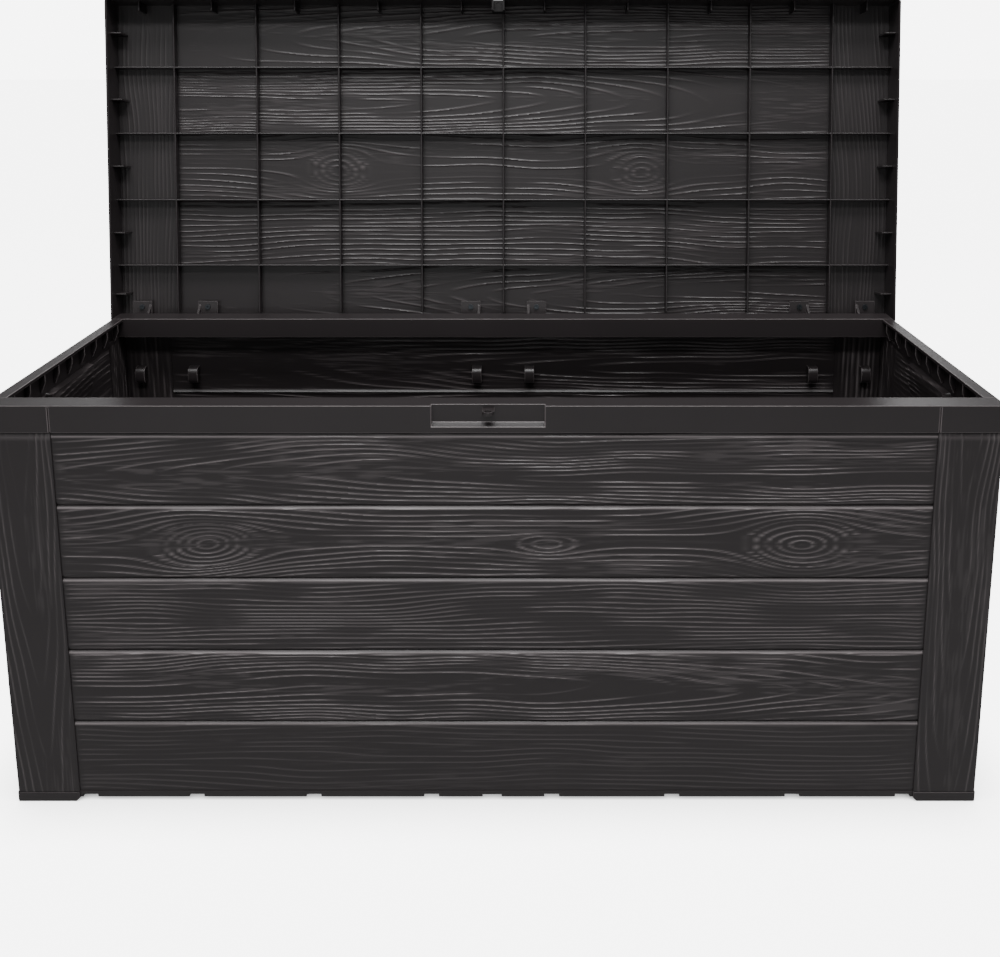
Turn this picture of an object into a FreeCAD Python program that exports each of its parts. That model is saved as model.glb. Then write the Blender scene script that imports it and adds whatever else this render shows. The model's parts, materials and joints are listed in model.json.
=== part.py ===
import FreeCAD, Part
import math
import os

# Deck storage box in moulded resin with a plank look: a floor on four corner feet, four corner
# posts, four wall panels between them, a ring of top rails, and a lid on three pinned hinges.
# Millimetres. +Z up, +X to the right, front faces -Y. Everything is drawn about the middle of the
# body's footprint at ground level, with the lid shut. Then the lid is swung to its open rest
# position, and the whole is moved so that the origin is the middle of the ground the open box covers.

# ---- Overall sizes ----
BODY_W = 1162.0
BODY_D = 465.0
BODY_H = 500.0
LID_W = 1198.0
LID_FRONT = -246.5
LID_REAR = 244.5
LID_BOTTOM = 485.0
LID_TOP = 537.0
HALF_W = BODY_W / 2
HALF_D = BODY_D / 2

# ---- Hinge line and travel ----
AXIS_Y = 239.5
AXIS_Z = 488.0
OPEN_DEG = 98.0
HINGE_X = {"left": -511.0, "centre": 0.0, "right": 511.0}

# ---- Walls ----
POST_W = 75.25
POST_D = 75.0
POST_T = 7.0
POST_RISE_W = 60.0
POST_RISE_D = 29.0
PANEL_SETBACK = 2.5
PANEL_T = 4.5
PLANK_LINES = (103.5, 196.5, 288.2, 378.4)
GROOVE_W = 6.0
GROOVE_DEPTH = 2.5
RIDGE_H = 2.5
TONGUE_T = 2.0
TONGUE_LEN = 10.0
TONGUE_INSET = 1.25
TONGUE_ROOM = 0.4
FIT = 0.1
OVER = 1.0
POST_R = 3.0
FLOOR_TOP = 12.0
RAIL_BOTTOM = 468.0
SEAM = 0.5
TOP_TONGUE_H = 24.0

# ---- Floor and feet ----
FLOOR_T = 4.0
FLOOR_BOTTOM = 4.5
FLOOR_RIB_T = 3.0
FLOOR_RIB_PITCH = 115.0
FLANGE_T = 4.0
NOTCH_W = 18.0
TAB_X = (-493.0, -364.0, -222.0, -79.0, 67.0, 213.0, 359.0, 493.0)
TAB_W = 14.0
TAB_T = 2.5
CENTRE_GAP = (-17.0, 6.0)
FOOT_WALL = 4.0
FOOT_CHAMFER = 5.0
FOOT_LEDGE = 12.0
FOOT_LEDGE_T = 2.5
FOOT_RIB_T = 3.0
PEG_R = 1.75
PEG_H = 8.0
PEG_IN = 45.0
TAB_LOW = 5.5
TAB_SETBACK = 1.0
TAB_ROOM = 0.2

# ---- Top rails ----
RAIL_T = 4.0
FRONT_RAIL_D = 33.0
REAR_RAIL_D = 37.0
SIDE_RAIL_W = 15.5
INNER_SKIRT_T = 3.0
INNER_SKIRT_BOTTOM = 472.0
SEAM_V = 2.0
GUSSET_PITCH = 44.0
GUSSET_T = 2.5
SEAM_STOP = 2.0

# ---- Hand recess and padlock staple in the front rail ----
LATCH_X = -7.0
RECESS_W = 129.5
RECESS_DEPTH = 7.0
RECESS_LEDGE_OUT = 475.0
RECESS_LEDGE_IN = 479.0
STAPLE_W = 12.8
STAPLE_T = 4.0
STAPLE_TOP = 495.5
STAPLE_TIP = -244.0
STAPLE_PLATE_HALF = 14.0
STAPLE_PLATE_LOW = 482.0
STAPLE_PLATE_T = 2.5
SHACKLE_R = 4.25
SHACKLE_Y = -237.7

# ---- Carrying scoops in the side panels ----
SCOOP_L = 144.5
SCOOP_WALL = 3.5
SCOOP_TOP = 466.0
SCOOP_FOOT = 405.0
SCOOP_BULGE = 9.3
SCOOP_HEAD_H = 11.0
SCOOP_FOOT_RISE = 7.0

# ---- Lid ----
LID_T = 3.0
LID_RIB_T = 2.5
LID_RIB_H = 16.0
LID_RIB_X = (-505.75, -379.3, -252.9, -126.4, 0.0, 126.4, 252.9, 379.3, 505.75)
LID_RIB_Y = (-146.9, -46.0, 56.0, 157.2)
LID_RIB_END = 230.0
LID_GROOVE_W = 5.0
LID_GROOVE_DEPTH = 1.2
LID_REST_GAP = 0.5
LID_CORNER_R = 6.0
LID_EDGE_R = 2.0
GUSSET_SIDE_L = 18.0
GUSSET_FRONT_L = 16.0

# ---- Lid hasp ----
HASP_W = 19.0
HASP_WALL = 2.5
HASP_BACK = -228.5
HASP_TOP = 521.0
HASP_PLATE_Z = 499.5
HASP_PLATE_T = 3.5

# ---- Hinges ----
PIN_R = 2.5
PIN_RUN_GAP = 0.08
KNUCKLE_R = 5.0
BRACKET_KNUCKLE_HALF = 31.5
LEAF_KNUCKLE_IN = 32.0
LEAF_KNUCKLE_OUT = 66.0
BRACKET_HALF = 58.0
BRACKET_BOTTOM = 392.0
BRACKET_ARM_TOP = 493.0
SEAT_ROOM = 0.3
HOOK_X = 40.0
HOOK_W = 14.0
HOOK_TOP = 420.0
BOSS_Y = 222.0
BOSS_X = 51.0
BOSS_R = 6.0
BOSS_H = 10.0
SCREW_R = 1.9
SCREW_HEAD_R = 4.0
SCREW_HEAD_H = 2.2
SCREW_LEN = 9.0
LEAF_T = 3.0
LEAF_BACK_RISE = 12.0
HEEL_FAR = 6.6
HEEL_NEAR = 3.0
HEEL_H = 4.0
FLANGE_IN = 9.0
HINGE_WINDOW_SIDE = 3.5
HINGE_WINDOW_TOP = 496.0


# ---------------------------------------------------------------- helpers
def box(x0, x1, y0, y1, z0, z1):
    return Part.makeBox(x1 - x0, y1 - y0, z1 - z0, FreeCAD.Vector(x0, y0, z0))


def prism_x(points, x0, x1):
    """A closed outline of (y, z) points, drawn out along X."""
    ring = [FreeCAD.Vector(x0, y, z) for y, z in points]
    face = Part.Face(Part.makePolygon(ring + ring[:1]))
    return face.extrude(FreeCAD.Vector(x1 - x0, 0, 0))


def prism_y(points, y0, y1):
    """A closed outline of (x, z) points, drawn out along Y."""
    ring = [FreeCAD.Vector(x, y0, z) for x, z in points]
    face = Part.Face(Part.makePolygon(ring + ring[:1]))
    return face.extrude(FreeCAD.Vector(0, y1 - y0, 0))


def prism_z(points, z0, z1):
    """A closed outline of (x, y) points, drawn out along Z."""
    ring = [FreeCAD.Vector(x, y, z0) for x, y in points]
    face = Part.Face(Part.makePolygon(ring + ring[:1]))
    return face.extrude(FreeCAD.Vector(0, 0, z1 - z0))


def rod_x(radius, x0, x1, y, z):
    return Part.makeCylinder(radius, x1 - x0, FreeCAD.Vector(x0, y, z), FreeCAD.Vector(1, 0, 0))


def rod_z(radius, x, y, z0, z1):
    return Part.makeCylinder(radius, z1 - z0, FreeCAD.Vector(x, y, z0))


def moved(shape, x=0.0, y=0.0, z=0.0):
    copy = shape.copy()
    copy.translate(FreeCAD.Vector(x, y, z))
    return copy


def turned_z(shape, degrees):
    copy = shape.copy()
    copy.rotate(FreeCAD.Vector(0, 0, 0), FreeCAD.Vector(0, 0, 1), degrees)
    return copy


def flipped(shape, x=False, y=False):
    """The mirror image across the middle planes named."""
    if x:
        shape = shape.mirror(FreeCAD.Vector(0, 0, 0), FreeCAD.Vector(1, 0, 0))
    if y:
        shape = shape.mirror(FreeCAD.Vector(0, 0, 0), FreeCAD.Vector(0, 1, 0))
    return shape


def joined(shapes):
    return shapes[0].multiFuse(shapes[1:]).removeSplitter()


def round_edges(shape, radius, wanted):
    """Rounds the edges for which wanted(edge) is true."""
    return shape.makeFillet(radius, [edge for edge in shape.Edges if wanted(edge)])


def is_vertical_at(edge, x, y):
    b = edge.BoundBox
    return b.ZLength > 1 and b.XLength + b.YLength < 0.01 and abs(b.XMin - x) + abs(b.YMin - y) < 0.01


def opened(shape):
    """A lid piece swung from shut to the open rest position."""
    copy = shape.copy()
    copy.rotate(FreeCAD.Vector(0, AXIS_Y, AXIS_Z), FreeCAD.Vector(1, 0, 0), -OPEN_DEG)
    return copy


# ---------------------------------------------------------------- walls
def wall_panel(length):
    """A panel along X, outer face at y = 0 looking at -Y: V grooves outside, ridges inside."""
    top = RAIL_BOTTOM - SEAM
    outer = [(0.0, FLOOR_TOP)]
    inner = [(PANEL_T, FLOOR_TOP)]
    for z in PLANK_LINES:
        outer += [(0.0, z - GROOVE_W / 2), (GROOVE_DEPTH, z), (0.0, z + GROOVE_W / 2)]
        inner += [(PANEL_T, z - GROOVE_W / 2), (PANEL_T + RIDGE_H, z), (PANEL_T, z + GROOVE_W / 2)]
    outer.append((0.0, top))
    inner.append((PANEL_T, top))
    skin = prism_x(outer + inner[::-1], -length / 2, length / 2)
    reach = length / 2 + TONGUE_LEN
    ends = box(-reach, reach, TONGUE_INSET, TONGUE_INSET + TONGUE_T, FLOOR_TOP, top)
    rise = box(-length / 2, length / 2, RAIL_T - PANEL_SETBACK + FIT, PANEL_T, top - 1, top + TOP_TONGUE_H)
    return joined([skin, ends, rise])


def snap_tabs():
    """The row of tabs on the lower edge of a long panel, in the panel's own place."""
    y0, y1 = TAB_SETBACK, TAB_SETBACK + TAB_T
    return [box(x - TAB_W / 2, x + TAB_W / 2, y0, y1, TAB_LOW, FLOOR_TOP + OVER) for x in TAB_X]


def long_panel():
    return joined([wall_panel(BODY_W - 2 * POST_W)] + snap_tabs())


def front_panel():
    panel = moved(long_panel(), y=-HALF_D + PANEL_SETBACK)
    half = RECESS_W / 2 + RAIL_T + 2
    gap = box(LATCH_X - half, LATCH_X + half, -HALF_D, -HALF_D + POST_T + 1, RAIL_BOTTOM, BODY_H)
    return panel.cut(gap)


def rear_panel():
    return bracket_seats(moved(turned_z(long_panel(), 180), y=HALF_D - PANEL_SETBACK))


def bracket_seats(wall):
    """Room in a rear wall piece for the hinge brackets: a flat seat each, and a slot for each clip."""
    seat = HALF_D - PANEL_SETBACK
    for x in HINGE_X.values():
        half = BRACKET_HALF + SEAT_ROOM
        wall = wall.cut(box(x - half, x + half, seat, HALF_D + 1, BRACKET_BOTTOM - SEAT_ROOM, BODY_H))
    for x in hook_places():
        half = HOOK_W / 2 + 0.5
        wall = wall.cut(box(x - half, x + half, seat - 20, HALF_D, HOOK_TOP - 12, HOOK_TOP + 1))
    return wall


def scoop_line(bulge, head, foot):
    return [(-1.0, head), (bulge, head), (bulge, head - SCOOP_HEAD_H), (0.0, foot), (-1.0, foot)]


def side_panel():
    """The right-hand panel. A scoop pressed in under the rail is the carrying grip."""
    panel = wall_panel(BODY_D - 2 * POST_D)
    reach = PANEL_T + SCOOP_BULGE
    bulge = [(PANEL_T - 1, SCOOP_TOP), (reach, SCOOP_TOP), (reach, SCOOP_TOP - SCOOP_HEAD_H)]
    bulge += [(PANEL_T, SCOOP_FOOT), (PANEL_T - 1, SCOOP_FOOT)]
    panel = panel.fuse(prism_x(bulge, -SCOOP_L / 2, SCOOP_L / 2)).removeSplitter()
    hollow = scoop_line(reach - SCOOP_WALL, SCOOP_TOP - SCOOP_WALL, SCOOP_FOOT + SCOOP_FOOT_RISE)
    half = SCOOP_L / 2 - SCOOP_WALL
    panel = panel.cut(prism_x(hollow, -half, half))
    return moved(turned_z(panel, 90), x=HALF_W - PANEL_SETBACK)


# ---------------------------------------------------------------- posts and feet
def corner_post():
    """The front left post: an L with a groove in each edge for the panel tongues."""
    x0, y0 = -HALF_W, -HALF_D
    top = RAIL_BOTTOM - SEAM
    arm_x = box(x0, x0 + POST_W, y0, y0 + POST_T, FLOOR_TOP, top)
    arm_y = box(x0, x0 + POST_T, y0, y0 + POST_D, FLOOR_TOP, top)
    post = joined([arm_x, arm_y])
    post = round_edges(post, POST_R, lambda edge: is_vertical_at(edge, x0, y0))
    near = PANEL_SETBACK + TONGUE_INSET - FIT
    far = near + TONGUE_T + 2 * FIT
    deep = TONGUE_LEN + TONGUE_ROOM
    post = post.cut(box(x0 + POST_W - deep, x0 + POST_W, y0 + near, y0 + far, FLOOR_TOP, top))
    post = post.cut(box(x0 + near, x0 + far, y0 + POST_D - deep, y0 + POST_D, FLOOR_TOP, top))
    lip = RAIL_T + FIT
    rise = box(x0 + lip, x0 + POST_RISE_W, y0 + lip, y0 + POST_T, top - 1, top + TOP_TONGUE_H)
    side = box(x0 + lip, x0 + POST_T, y0 + lip, y0 + POST_RISE_D, top - 1, top + TOP_TONGUE_H)
    post = joined([post, rise, side])
    for x, y in peg_places():
        post = post.cut(rod_z(PEG_R + FIT, x, y, FLOOR_TOP - 1, FLOOR_TOP + PEG_H + 0.5))
    return post


def peg_places():
    middle = POST_T / 2
    return [(-HALF_W + PEG_IN, -HALF_D + middle), (-HALF_W + middle, -HALF_D + PEG_IN)]


def corner_foot():
    """The front left foot: a hollow block with a ledge for the floor and two pegs for the post."""
    x0, y0 = -HALF_W, -HALF_D
    x1, y1 = x0 + POST_W, y0 + POST_D
    foot = box(x0, x1, y0, y1, 0, FLOOR_TOP - SEAM)
    hollow = box(x0 + FOOT_WALL, x1 - FOOT_WALL, y0 + FOOT_WALL, y1 - FOOT_WALL, 0, FLOOR_TOP - FLOOR_T)
    middle, half = y0 + POST_D / 2, FOOT_RIB_T / 2
    rib = box(x0, x1, middle - half, middle + half, 1, FLOOR_TOP - FLOOR_T)
    foot = foot.cut(hollow).fuse(rib)
    foot = round_edges(foot.removeSplitter(), POST_R, lambda edge: is_vertical_at(edge, x0, y0))
    c = FOOT_CHAMFER
    foot = foot.cut(prism_y([(x1 - c, -1), (x1 + 1, -1), (x1 + 1, c)], y0 - 1, y1 + 1))
    foot = foot.cut(prism_x([(y1 - c, -1), (y1 + 1, -1), (y1 + 1, c)], x0 - 1, x1 + 1))
    ledge_top = FLOOR_TOP - FLOOR_T
    ledges = [box(x1 - 1, x1 + FOOT_LEDGE, y0 + 12, y1 + FOOT_LEDGE, ledge_top - FOOT_LEDGE_T, ledge_top)]
    ledges.append(box(x0 + 12, x1 + FOOT_LEDGE, y1 - 1, y1 + FOOT_LEDGE, ledge_top - FOOT_LEDGE_T, ledge_top))
    pegs = [rod_z(PEG_R, x, y, FLOOR_TOP - 2, FLOOR_TOP + PEG_H) for x, y in peg_places()]
    return joined([foot] + ledges + pegs)


# ---------------------------------------------------------------- floor
def floor_panel():
    """A plate notched round the corner feet, with a flange and a rib grid beneath."""
    x1, y1 = HALF_W - PANEL_SETBACK, HALF_D - PANEL_SETBACK
    under = FLOOR_TOP - FLOOR_T
    plate = box(-x1, x1, -y1, y1, under, FLOOR_TOP)
    inner = box(-x1 + FLANGE_T, x1 - FLANGE_T, -y1 + FLANGE_T, y1 - FLANGE_T, FLOOR_BOTTOM, under)
    pieces = [plate, box(-x1, x1, -y1, y1, FLOOR_BOTTOM, under).cut(inner)]
    for k in range(-4, 5):
        x = k * FLOOR_RIB_PITCH
        pieces.append(box(x - FLOOR_RIB_T / 2, x + FLOOR_RIB_T / 2, -y1 + 1, y1 - 1, FLOOR_BOTTOM, under))
    for k in (-1, 0, 1):
        y = k * FLOOR_RIB_PITCH
        pieces.append(box(-x1 + 1, x1 - 1, y - FLOOR_RIB_T / 2, y + FLOOR_RIB_T / 2, FLOOR_BOTTOM, under))
    floor = joined(pieces)
    for sx in (-1, 1):
        for sy in (-1, 1):
            floor = floor.cut(foot_clearance(sx, sy))
    for sy in (-1, 1):
        floor = floor.cut(Part.makeCompound([cut for x in TAB_X for cut in tab_cuts(-sy * x, sy)]))
    gap = box(CENTRE_GAP[0], CENTRE_GAP[1], -y1 - 1, y1 + 1, 0, under - 0.5)
    return floor.cut(gap)


def foot_clearance(sx, sy):
    """The corner notch in the plate, and the room under it for the foot's ledge."""
    inside_x, inside_y = HALF_W - POST_W, HALF_D - POST_D
    xs = sorted((sx * inside_x, sx * (HALF_W + 1)))
    ys = sorted((sy * inside_y, sy * (HALF_D + 1)))
    corner = box(xs[0], xs[1], ys[0], ys[1], 0, FLOOR_TOP + 1)
    xs = sorted((sx * (inside_x - FOOT_LEDGE - 1), sx * (HALF_W - 10)))
    ys = sorted((sy * (inside_y - FOOT_LEDGE - 1), sy * (HALF_D - 10)))
    return corner.fuse(box(xs[0], xs[1], ys[0], ys[1], 0, FLOOR_TOP - FLOOR_T))


def tab_cuts(x, side):
    """A notch in the flange and a slot in the plate for one snap tab; side is -1 front, 1 rear."""
    face = HALF_D - PANEL_SETBACK
    ys = sorted((side * (face - FLANGE_T - 0.5), side * (face + 1)))
    notch = box(x - NOTCH_W / 2, x + NOTCH_W / 2, ys[0], ys[1], 0, FLOOR_TOP - FLOOR_T)
    ys = sorted((side * (face - TAB_SETBACK - TAB_T - TAB_ROOM), side * (face - TAB_SETBACK + TAB_ROOM)))
    slot = box(x - TAB_W / 2 - TAB_ROOM, x + TAB_W / 2 + TAB_ROOM, ys[0], ys[1], 0, FLOOR_TOP + OVER)
    return [notch, slot]


# ---------------------------------------------------------------- top rails
def long_rail(depth):
    """A rail along the front: outer skirt, top, inner skirt and closed ends, open below."""
    y0 = -HALF_D
    rail = box(-HALF_W, HALF_W, y0, y0 + depth, RAIL_BOTTOM, BODY_H)
    for x in (-HALF_W, HALF_W):
        rail = round_edges(rail, POST_R, lambda edge: is_vertical_at(edge, x, y0))
    inside = HALF_W - RAIL_T
    hollow = box(-inside, inside, y0 + RAIL_T, y0 + depth - INNER_SKIRT_T, RAIL_BOTTOM - 1, BODY_H - RAIL_T)
    under = box(-inside, inside, y0 + RAIL_T, y0 + depth + 1, RAIL_BOTTOM - 1, INNER_SKIRT_BOTTOM)
    rail = rail.cut(hollow).cut(under)
    for x in (-HALF_W + POST_W, HALF_W - POST_W):
        seam = [(x - SEAM_V / 2, y0 - 0.01), (x, y0 + SEAM_V), (x + SEAM_V / 2, y0 - 0.01)]
        rail = rail.cut(prism_z(seam, RAIL_BOTTOM - OVER, BODY_H - SEAM_STOP))
    return rail


def front_top_rail():
    """The long rail with the shallow hand recess and the slot for the padlock staple."""
    y0 = -HALF_D
    x0, x1 = LATCH_X - RECESS_W / 2, LATCH_X + RECESS_W / 2
    wall_in = y0 + RECESS_DEPTH + RAIL_T
    backing = box(x0 - RAIL_T, x1 + RAIL_T, y0 + 1, wall_in, RECESS_LEDGE_OUT - RAIL_T, BODY_H - 1)
    rail = joined([long_rail(FRONT_RAIL_D), backing])
    back = y0 + RECESS_DEPTH
    bite = [(y0 - 1, RECESS_LEDGE_OUT - 0.5), (y0, RECESS_LEDGE_OUT), (back, RECESS_LEDGE_IN)]
    bite += [(back, BODY_H + 1), (y0 - 1, BODY_H + 1)]
    rail = rail.cut(prism_x(bite, x0, x1))
    half = STAPLE_W / 2 + FIT
    low = STAPLE_TOP - STAPLE_T - FIT
    return rail.cut(box(LATCH_X - half, LATCH_X + half, y0, wall_in + 1, low, STAPLE_TOP + FIT))


def rear_top_rail():
    """The long rail, turned round, with a shallow pocket for the arm of each hinge bracket."""
    rail = turned_z(long_rail(REAR_RAIL_D), 180)
    face = HALF_D - PANEL_SETBACK
    half = BRACKET_KNUCKLE_HALF + SEAT_ROOM
    for x in HINGE_X.values():
        rail = rail.cut(box(x - half, x + half, face, HALF_D + OVER, RAIL_BOTTOM - OVER, BRACKET_ARM_TOP + 1))
    return rail


def side_top_rail():
    """The right-hand rail: skirt and flat top, with gussets in the channel on its inner side."""
    y0, y1 = -HALF_D + FRONT_RAIL_D, HALF_D - REAR_RAIL_D
    inner = HALF_W - SIDE_RAIL_W
    pieces = [box(HALF_W - RAIL_T, HALF_W, y0, y1, RAIL_BOTTOM, BODY_H)]
    pieces.append(box(inner, HALF_W, y0, y1, BODY_H - RAIL_T, BODY_H))
    wall = HALF_W - POST_T - 0.2
    outline = [(inner, BODY_H - RAIL_T + 1), (wall, BODY_H - RAIL_T + 1), (wall, INNER_SKIRT_BOTTOM)]
    outline += [(wall - 2.5, INNER_SKIRT_BOTTOM), (inner, BODY_H - 14)]
    count = int((y1 - y0) / GUSSET_PITCH)
    start = (y0 + y1 - count * GUSSET_PITCH) / 2
    for k in range(count + 1):
        y = start + k * GUSSET_PITCH
        pieces.append(prism_y(outline, y - GUSSET_T / 2, y + GUSSET_T / 2))
    rail = joined(pieces)
    for y in (-HALF_D + POST_D, HALF_D - POST_D):
        seam = [(HALF_W + 0.01, y - SEAM_V / 2), (HALF_W - SEAM_V, y), (HALF_W + 0.01, y + SEAM_V / 2)]
        rail = rail.cut(prism_z(seam, RAIL_BOTTOM - OVER, BODY_H - SEAM_STOP))
    return rail


def lock_staple():
    """The eye that a padlock goes through: a round-ended tongue on a plate behind the recess."""
    half = STAPLE_W / 2
    back = -HALF_D + RECESS_DEPTH + RAIL_T
    low = STAPLE_TOP - STAPLE_T
    centre = STAPLE_TIP + half
    tongue = box(LATCH_X - half, LATCH_X + half, centre, back + 1, low, STAPLE_TOP)
    tip = rod_z(half, LATCH_X, centre, low, STAPLE_TOP)
    plate = box(
        LATCH_X - STAPLE_PLATE_HALF, LATCH_X + STAPLE_PLATE_HALF, back, back + STAPLE_PLATE_T,
        STAPLE_PLATE_LOW, BODY_H - RAIL_T - 3 * FIT)
    eye = rod_z(SHACKLE_R, LATCH_X, SHACKLE_Y, low - 1, STAPLE_TOP + 1)
    return joined([tongue, tip, plate]).cut(eye)


# ---------------------------------------------------------------- hinges
def hook_places():
    return [x + side * HOOK_X for x in HINGE_X.values() for side in (-1, 1)]


def clip_hook(x):
    """The clip that pokes through the rear panel and turns down over its inner face."""
    wall = HALF_D - POST_T
    outline = [(HALF_D - PANEL_SETBACK + 0.5, HOOK_TOP), (wall - 8, HOOK_TOP), (wall - 13, HOOK_TOP - 3)]
    outline += [(wall - 15, HOOK_TOP - 8), (wall - 15, HOOK_TOP - 19), (wall - 12, HOOK_TOP - 24)]
    outline += [(wall - 7, HOOK_TOP - 25), (wall - 4, HOOK_TOP - 22), (wall - 4, HOOK_TOP - 12)]
    outline.append((HALF_D - PANEL_SETBACK + 0.5, HOOK_TOP - 11))
    return prism_x(outline, x - HOOK_W / 2, x + HOOK_W / 2)


def hinge_bracket(x):
    """The body half: plate on the rear panel, arm over the rail, knuckle, two clips."""
    near, face = HALF_D - PANEL_SETBACK, HALF_D
    half = BRACKET_KNUCKLE_HALF
    pieces = [box(x - BRACKET_HALF, x + BRACKET_HALF, near, face, BRACKET_BOTTOM, RAIL_BOTTOM - SEAM)]
    pieces.append(box(x - half, x + half, near, face, RAIL_BOTTOM - 2, BRACKET_ARM_TOP))
    pieces.append(box(x - half, x + half, face - 1, AXIS_Y, AXIS_Z - 4, AXIS_Z + 4))
    pieces.append(rod_x(KNUCKLE_R, x - half, x + half, AXIS_Y, AXIS_Z))
    pieces += [clip_hook(x + side * HOOK_X) for side in (-1, 1)]
    return joined(pieces).cut(rod_x(PIN_R, x - half - 1, x + half + 1, AXIS_Y, AXIS_Z))


def hinge_pin(x):
    reach = LEAF_KNUCKLE_OUT + 0.4
    pin = rod_x(PIN_R, x - reach - 1.6, x + reach + 0.5, AXIS_Y, AXIS_Z)
    head = rod_x(PIN_R + 1.3, x + reach, x + reach + 2.5, AXIS_Y, AXIS_Z)
    return pin.fuse(head).removeSplitter()


def lid_hinge_leaf(x):
    """The lid half, drawn shut: two flanges on the lid's bosses, a back plate, two knuckles, two stops."""
    back = LID_REAR - LID_T
    flange_top = LID_TOP - LID_T - BOSS_H
    pieces = []
    for side in (-1, 1):
        xs = sorted((x + side * (LEAF_KNUCKLE_IN + 4), x + side * LEAF_KNUCKLE_OUT))
        pieces.append(box(xs[0], xs[1], BOSS_Y - FLANGE_IN, back, flange_top - LEAF_T, flange_top))
        xs = sorted((x + side * LEAF_KNUCKLE_IN, x + side * LEAF_KNUCKLE_OUT))
        pieces.append(box(xs[0], xs[1], back - LEAF_T, back, AXIS_Z, flange_top))
        pieces.append(rod_x(KNUCKLE_R, xs[0], xs[1], AXIS_Y, AXIS_Z))
        heel = box(xs[0], xs[1], AXIS_Y - HEEL_FAR, AXIS_Y - HEEL_NEAR, AXIS_Z - HEEL_H, AXIS_Z)
        heel.rotate(FreeCAD.Vector(0, AXIS_Y, AXIS_Z), FreeCAD.Vector(1, 0, 0), OPEN_DEG)
        pieces.append(heel)
        web_x = xs[0] if side > 0 else xs[1] - 3
        web = [(back - 2, AXIS_Z + LEAF_BACK_RISE), (back - 2, flange_top - 2), (BOSS_Y - 4, flange_top - 2)]
        pieces.append(prism_x(web, web_x + side * 5, web_x + side * 5 + 3))
    x0, x1 = x - LEAF_KNUCKLE_OUT, x + LEAF_KNUCKLE_OUT
    pieces.append(box(x0, x1, back - LEAF_T, back, AXIS_Z + LEAF_BACK_RISE, flange_top))
    leaf = joined(pieces)
    bore = rod_x(PIN_R + PIN_RUN_GAP, x - LEAF_KNUCKLE_OUT - 1, x + LEAF_KNUCKLE_OUT + 1, AXIS_Y, AXIS_Z)
    leaf = leaf.cut(bore)
    for bx in boss_places(x):
        leaf = leaf.cut(rod_z(SCREW_R + FIT, bx, BOSS_Y, flange_top - 4, flange_top + 1))
    return leaf


def boss_places(x):
    return [x - BOSS_X, x + BOSS_X]


def lid_hinge_screws():
    """Six pan-head screws that hold the leaves to the lid's bosses, drawn shut."""
    flange = LID_TOP - LID_T - BOSS_H - 3
    screws = []
    for x in HINGE_X.values():
        for bx in boss_places(x):
            shank = rod_z(SCREW_R, bx, BOSS_Y, flange - 0.5, flange + SCREW_LEN)
            head = rod_z(SCREW_HEAD_R, bx, BOSS_Y, flange - SCREW_HEAD_H, flange)
            slots = [box(bx - 2.4, bx + 2.4, BOSS_Y - 0.5, BOSS_Y + 0.5, flange - 3, flange - 1.2)]
            slots.append(box(bx - 0.5, bx + 0.5, BOSS_Y - 2.4, BOSS_Y + 2.4, flange - 3, flange - 1.2))
            screws.append(head.fuse(shank).removeSplitter().cut(slots[0].fuse(slots[1])))
    return Part.makeCompound(screws)


# ---------------------------------------------------------------- lid, drawn shut
def lid_tray():
    half = LID_W / 2
    tray = box(-half, half, LID_FRONT, LID_REAR, LID_BOTTOM, LID_TOP)
    tray = round_edges(tray, LID_CORNER_R, lambda edge: edge.BoundBox.ZLength > 40)
    tray = round_edges(tray, LID_EDGE_R, lambda edge: edge.BoundBox.ZMin > LID_TOP - 0.01)
    t = LID_T
    return tray.cut(box(-half + t, half - t, LID_FRONT + t, LID_REAR - t, LID_BOTTOM - 1, LID_TOP - t))


def lid_ribs():
    under = LID_TOP - LID_T
    tip = under - LID_RIB_H
    half = LID_RIB_T / 2
    ribs = [box(x - half, x + half, LID_FRONT + 1, LID_RIB_END, tip, under + 1) for x in LID_RIB_X]
    reach = LID_W / 2 - 1
    ribs += [box(-reach, reach, y - half, y + half, tip, under + 1) for y in LID_RIB_Y]
    return ribs


def lid_gussets():
    """Short webs on the aprons that come down on the rims when the lid is shut."""
    rest = BODY_H + LID_REST_GAP
    under = LID_TOP - LID_T
    rows = (LID_FRONT,) + LID_RIB_Y + (LID_REAR,)
    half = LID_RIB_T / 2
    wall = LID_W / 2 - 1
    gussets = []
    for low, high in zip(rows[:-1], rows[1:]):
        y = (low + high) / 2
        for xs in ((-wall, -wall + GUSSET_SIDE_L + 1), (wall - GUSSET_SIDE_L - 1, wall)):
            gussets.append(box(xs[0], xs[1], y - half, y + half, rest, under + 1))
    cells = [-LID_W / 2] + list(LID_RIB_X) + [LID_W / 2]
    for low, high in zip(cells[:-1], cells[1:]):
        x = (low + high) / 2
        gussets.append(box(x - half, x + half, LID_FRONT + 1, LID_FRONT + GUSSET_FRONT_L, rest, under + 1))
    return gussets


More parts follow.
